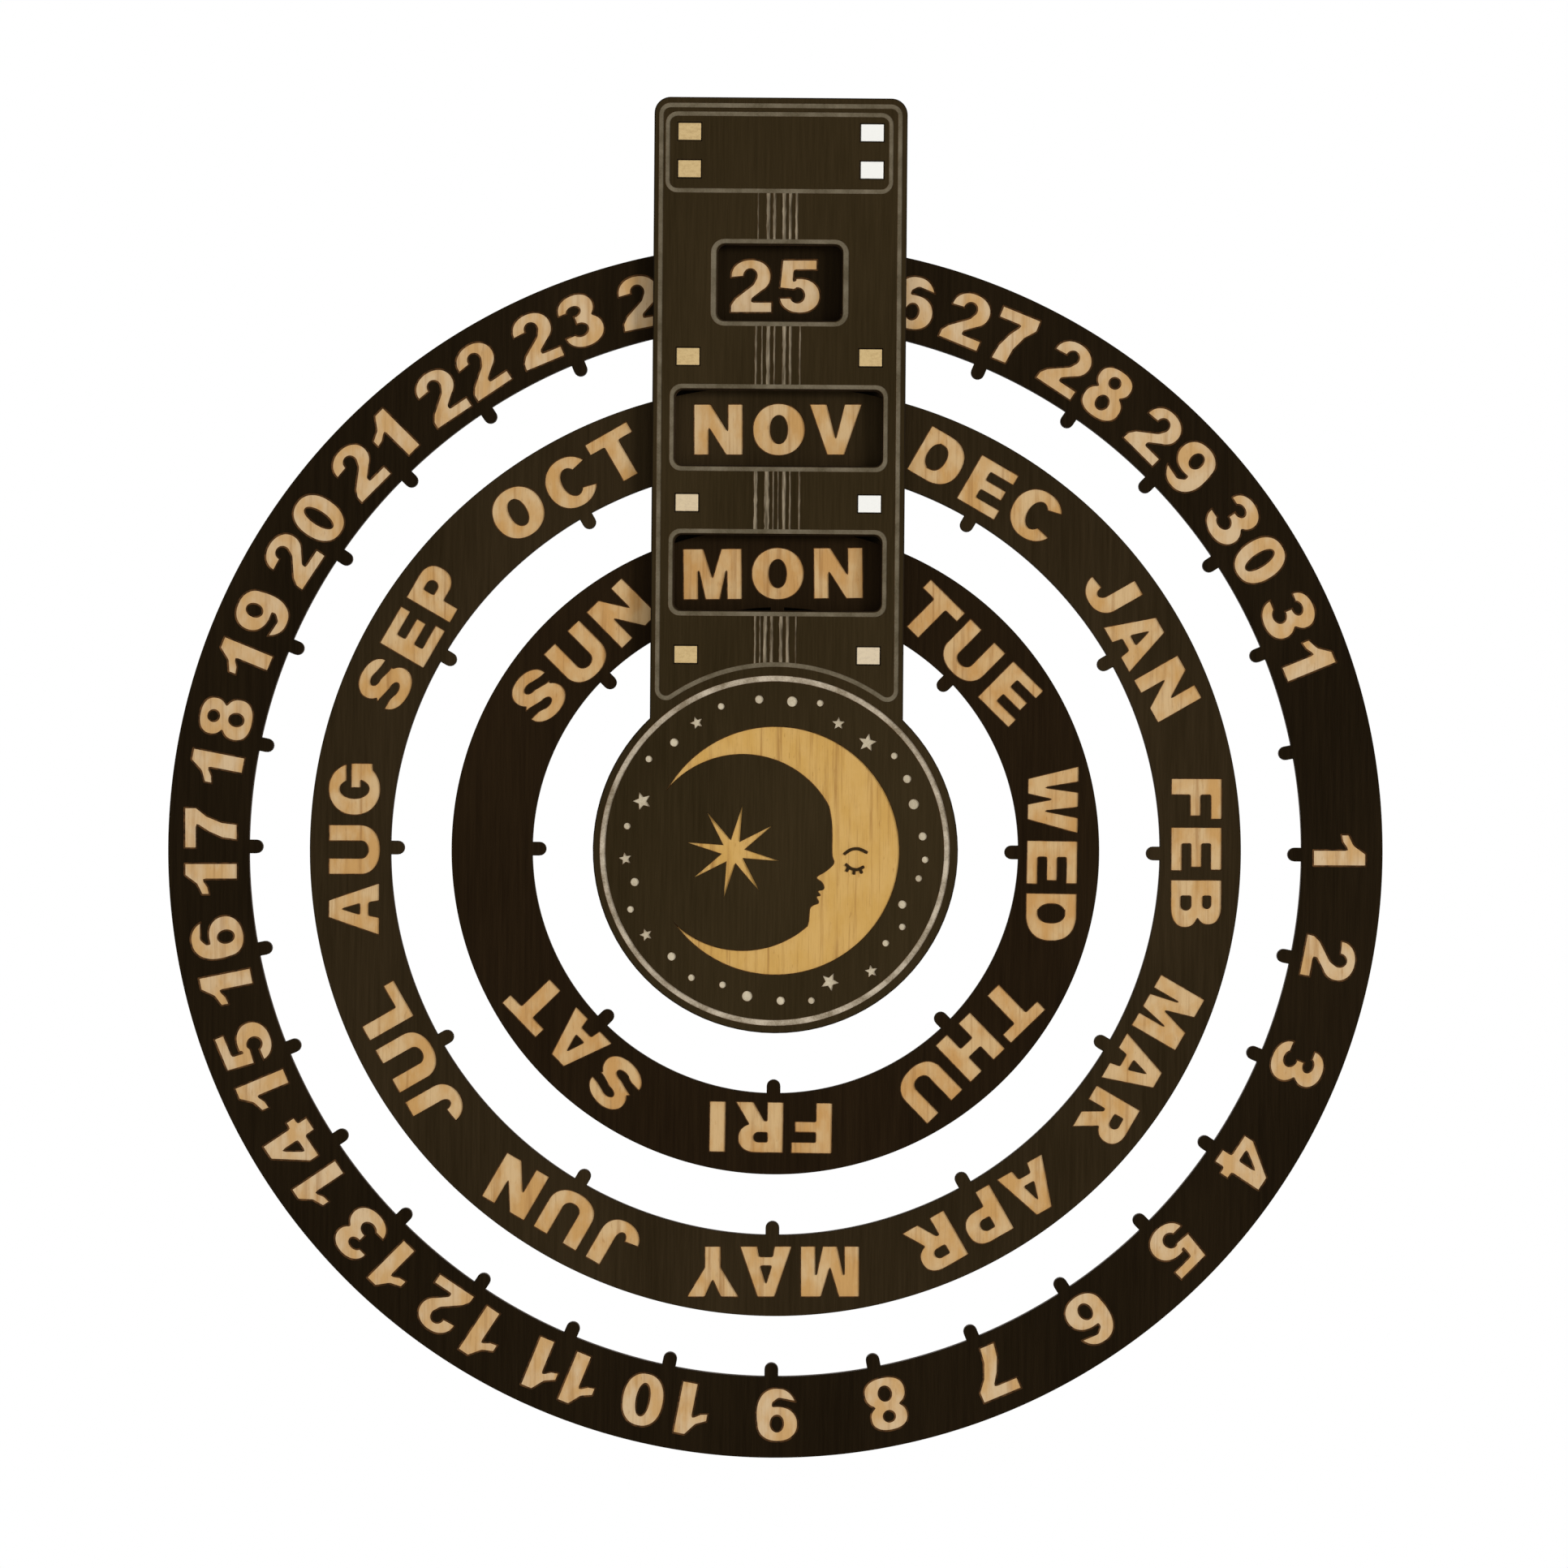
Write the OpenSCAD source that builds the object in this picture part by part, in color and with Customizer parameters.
// Perpetual wall calendar. Three rings, of days, months and dates, hang one inside the
// other in a layered timber plaque, and each ring shows one entry through its window.
// The origin is the rings' common centre on the wall face. The front looks along -Y.

/* [Sheet] */
// Thickness of the front plate and of the back plate
plate_t = 3; // [2:0.5:5]
// Thickness of each ring
ring_t = 3; // [2:0.5:5]
// Air between a ring and the plate on either side of it
ring_play = 0.5; // [0.3:0.1:1]

/* [Rings] */
// Outer diameter of the date ring, the largest of the three
date_ring_d = 300; // [280:5:340]
// Width of each ring's band
band_w = 20; // [18:0.5:22]
// Open gap between one ring and the next, and between the day ring and the disc
ring_gap = 15; // [14:0.5:17]

/* [Index nubs] */
// Width of a nub, whose tip is a half circle
nub_w = 3.4; // [2.6:0.2:4.4]
// Height of a nub above the ring's inner edge
nub_h = 3.4; // [2.6:0.2:4]
// Depth of the notch that holds the topmost nub, below the cradle's arc
notch_depth = 0.8; // [0.4:0.1:1.2]
// Clearance round a nub's tip in the notch
notch_fit = 0.2; // [0.1:0.05:0.4]
// Clearance between the circle that the nub tips run on and the cradle under it
turn_gap = 0.3; // [0.2:0.05:0.5]
// Room above each ring, so that it can be lifted out of its notch
lift_room = 4; // [3.6:0.2:4.8]

/* [Plaque] */
// Width of the plaque
plaque_w = 62.4; // [58:0.4:70]
// Height of the plaque's top panel above the date ring
panel_rise = 35.6; // [33:0.2:45]
// Radius of the plaque's two top corners
corner_r = 4; // [2:0.5:8]
// How far the core pieces stand back from the plates' edge
core_inset = 1; // [0.4:0.2:1.6]
// Clearance between the day cradle and the disc spacer below it
core_joint = 0.1; // [0.05:0.05:0.3]

/* [Windows] */
// Width of the date window
date_window_w = 30.6; // [26:0.2:36]
// Width of the month window and of the day window
name_window_w = 51; // [46:0.5:54]
// How much of the band each long edge of a window hides
window_lip = 0.7; // [0.2:0.1:2]
// Radius of a window's corners
window_r = 2; // [1:0.25:4]
// How far the month window lies below the middle of its band
month_window_drop = 0.8; // [0:0.1:1.5]
// How far the day window lies below the middle of its band
day_window_drop = 1.5; // [0:0.1:2]

/* [Pegs] */
// Width of a peg
peg_w = 5.6; // [4:0.2:7]
// Height of a peg
peg_h = 4.2; // [3:0.2:4.8]
// Distance from the plaque's side edge to the pegs
peg_edge = 5.9; // [4:0.1:8]
// Clearance round a peg in its mortise
peg_fit = 0.05; // [0.02:0.01:0.1]
// Distance from the plaque's top edge to the middle of the upper pegs
panel_peg_drop = 8.5; // [6:0.1:10]
// Distance between the two rows of pegs in the top panel
panel_peg_pitch = 9.2; // [7:0.1:10]

/* [Keyhole] */
// Diameter of the round entry that the screw's head passes through
keyhole_d = 9; // [8:0.5:10]
// Width of the slot that the screw's shank hangs in
keyhole_slot_w = 4.5; // [3.5:0.25:5.5]
// Height of the slot's end above the middle of the entry
keyhole_rise = 6; // [5:0.25:7]
// Distance from the plaque's top edge to the middle of the entry
keyhole_drop = 17.6; // [16.5:0.1:19]
// Room round the screw's head inside the plaque
head_room = 3; // [1.5:0.25:4]

/* [Hidden] */
$fn = 192;

// 31 dates and a blank, 12 months, and 7 days and a blank
DATE_PLACES = 32;
MONTH_PLACES = 12;
DAY_PLACES = 8;

// How far a nub's root runs into the band, so that the two are one piece
nub_root = 1;

core_t = ring_t + 2 * ring_play;
plaque_t = 2 * plate_t + core_t;
ring_pitch = band_w + ring_gap;

// Outer radii, from the largest ring to the disc
date_r = date_ring_d / 2;
month_r = date_r - ring_pitch;
day_r = month_r - ring_pitch;
disc_r = day_r - ring_pitch;

plaque_top = date_r + panel_rise;
core_w = plaque_w - 2 * core_inset;
disc_spacer_r = disc_r - core_inset;
notch_r = nub_w / 2 + notch_fit;
window_h = band_w - 2 * window_lip;
peg_x = plaque_w / 2 - peg_edge - peg_w / 2;
keyhole_z = plaque_top - keyhole_drop;
head_pocket_d = keyhole_d + 2 * head_room;

// Radius of the arc under a ring's nubs, and of the middle of its band
function cradle_r(ring_r) = ring_r - band_w - nub_h - turn_gap;
function band_r(ring_r) = ring_r - band_w / 2;

// A cradle's pegs stand just inside its arc: their outer top corners touch it.
function cradle_peg_z(ring_r) =
    sqrt(pow(cradle_r(ring_r), 2) - pow(peg_x + peg_w / 2, 2)) - peg_h / 2;

panel_peg_z = plaque_top - panel_peg_drop;

// Each row of pegs: its name and its height
PEG_ROWS = [
    ["panel_upper", panel_peg_z],
    ["panel_lower", panel_peg_z - panel_peg_pitch],
    ["date", cradle_peg_z(date_r)],
    ["month", cradle_peg_z(month_r)],
    ["day", cradle_peg_z(day_r)],
];
SIDES = [["left", -1], ["right", 1]];

function peg_name(row, side) = str(row[0], "_peg_", side[0]);

// ---- Outlines, drawn flat: x to the right and y up -------------------------------

// A band whose top corners are round, standing on the centre line
module bar_outline(width, top, r) {
    translate([-width / 2, 0]) square([width, top - r]);
    translate([-width / 2 + r, 0]) square([width - 2 * r, top]);
    for (side = [-1, 1])
        translate([side * (width / 2 - r), top - r]) circle(r = r);
}

module plaque_outline() {
    bar_outline(plaque_w, plaque_top, corner_r);
    circle(r = disc_r);
}

// A slot with round ends, from its lower centre upwards
module slot_outline(width, rise) {
    circle(d = width);
    translate([0, rise]) circle(d = width);
    translate([-width / 2, 0]) square([width, rise]);
}

module window_outline(width, z) {
    translate([0, z]) {
        square([width - 2 * window_r, window_h], center = true);
        square([width, window_h - 2 * window_r], center = true);
        for (sx = [-1, 1], sy = [-1, 1])
            translate([sx * (width / 2 - window_r), sy * (window_h / 2 - window_r)])
                circle(r = window_r);
    }
}

module mortises() {
    for (row = PEG_ROWS, side = [-1, 1])
        translate([side * peg_x, row[1]])
            square([peg_w + 2 * peg_fit, peg_h + 2 * peg_fit], center = true);
}

// A nub under a ring's band: a short stem with a round tip, pointing at the centre
module nub_outline(band_inner_r) {
    tip_y = band_inner_r - nub_h + nub_w / 2;
    translate([0, tip_y]) circle(d = nub_w);
    translate([-nub_w / 2, tip_y]) square([nub_w, nub_h - nub_w / 2 + nub_root]);
}

module ring_outline(ring_r, places) {
    difference() {
        circle(r = ring_r);
        circle(r = ring_r - band_w);
    }
    for (i = [0 : places - 1])
        rotate(i * 360 / places) nub_outline(ring_r - band_w);
}

// A cradle carries one ring by its topmost nub. Its crown is an arc that the nubs run
// over, with a notch at the top, and the pegs sit on its two shoulders.
module cradle_outline(ring_r, lower_r) {
    crown_r = cradle_r(ring_r);
    crown_w = 2 * (peg_x - peg_w / 2 - peg_fit);
    shoulder_z = cradle_peg_z(ring_r) - peg_h / 2 - peg_fit;
    difference() {
        intersection() {
            circle(r = crown_r);
            union() {
                translate([-core_w / 2, 0]) square([core_w, shoulder_z]);
                translate([-crown_w / 2, 0]) square([crown_w, crown_r]);
            }
        }
        circle(r = lower_r);
        translate([0, crown_r - notch_depth + notch_r]) circle(r = notch_r);
    }
}

// Cuts a flat outline out of sheet and stands it up, its back at this depth
module sheet(depth, thickness) {
    translate([0, -depth, 0]) rotate([90, 0, 0]) linear_extrude(thickness) children();
}

module core_sheet() {
    color("tan") sheet(plate_t, core_t) children();
}

module ring_sheet(ring_r, places) {
    color("#2a2117") sheet(plate_t + ring_play, ring_t) ring_outline(ring_r, places);
}

// ---- Pieces ------------------------------------------------------------------------

module front_plate() {
    color("#2f2615") sheet(plate_t + core_t, plate_t) difference() {
        plaque_outline();
        window_outline(date_window_w, band_r(date_r));
        window_outline(name_window_w, band_r(month_r) - month_window_drop);
        window_outline(name_window_w, band_r(day_r) - day_window_drop);
        mortises();
    }
}

module back_plate() {
    color("#2f2615") sheet(0, plate_t) difference() {
        plaque_outline();
        mortises();
        translate([0, keyhole_z]) {
            circle(d = keyhole_d);
            slot_outline(keyhole_slot_w, keyhole_rise);
        }
    }
}

// The core of the top panel, open behind the keyhole so that the screw's head fits
module top_spacer() {
    core_sheet() difference() {
        bar_outline(core_w, plaque_top - core_inset, corner_r - core_inset);
        circle(r = date_r + lift_room);
        mortises();
        translate([0, keyhole_z]) slot_outline(head_pocket_d, keyhole_rise);
    }
}

module date_cradle() {
    core_sheet() cradle_outline(date_r, month_r + lift_room);
}

module month_cradle() {
    core_sheet() cradle_outline(month_r, day_r + lift_room);
}

module day_cradle() {
    core_sheet() cradle_outline(day_r, disc_spacer_r + core_joint);
}

module disc_spacer() {
    core_sheet() circle(r = disc_spacer_r);
}

module date_ring() {
    ring_sheet(date_r, DATE_PLACES);
}

module month_ring() {
    ring_sheet(month_r, MONTH_PLACES);
}

module day_ring() {
    ring_sheet(day_r, DAY_PLACES);
}

// A square peg through the whole plaque, flush with both faces
module peg(side, z) {
    color("#cdb487")
        translate([side * peg_x, -plaque_t / 2, z])
            cube([peg_w, plaque_t, peg_h], center = true);
}

front_plate();
back_plate();
top_spacer();
date_cradle();
month_cradle();
day_cradle();
disc_spacer();
date_ring();
month_ring();
day_ring();
for (row = PEG_ROWS, side = SIDES)
    peg(side[1], row[1]);
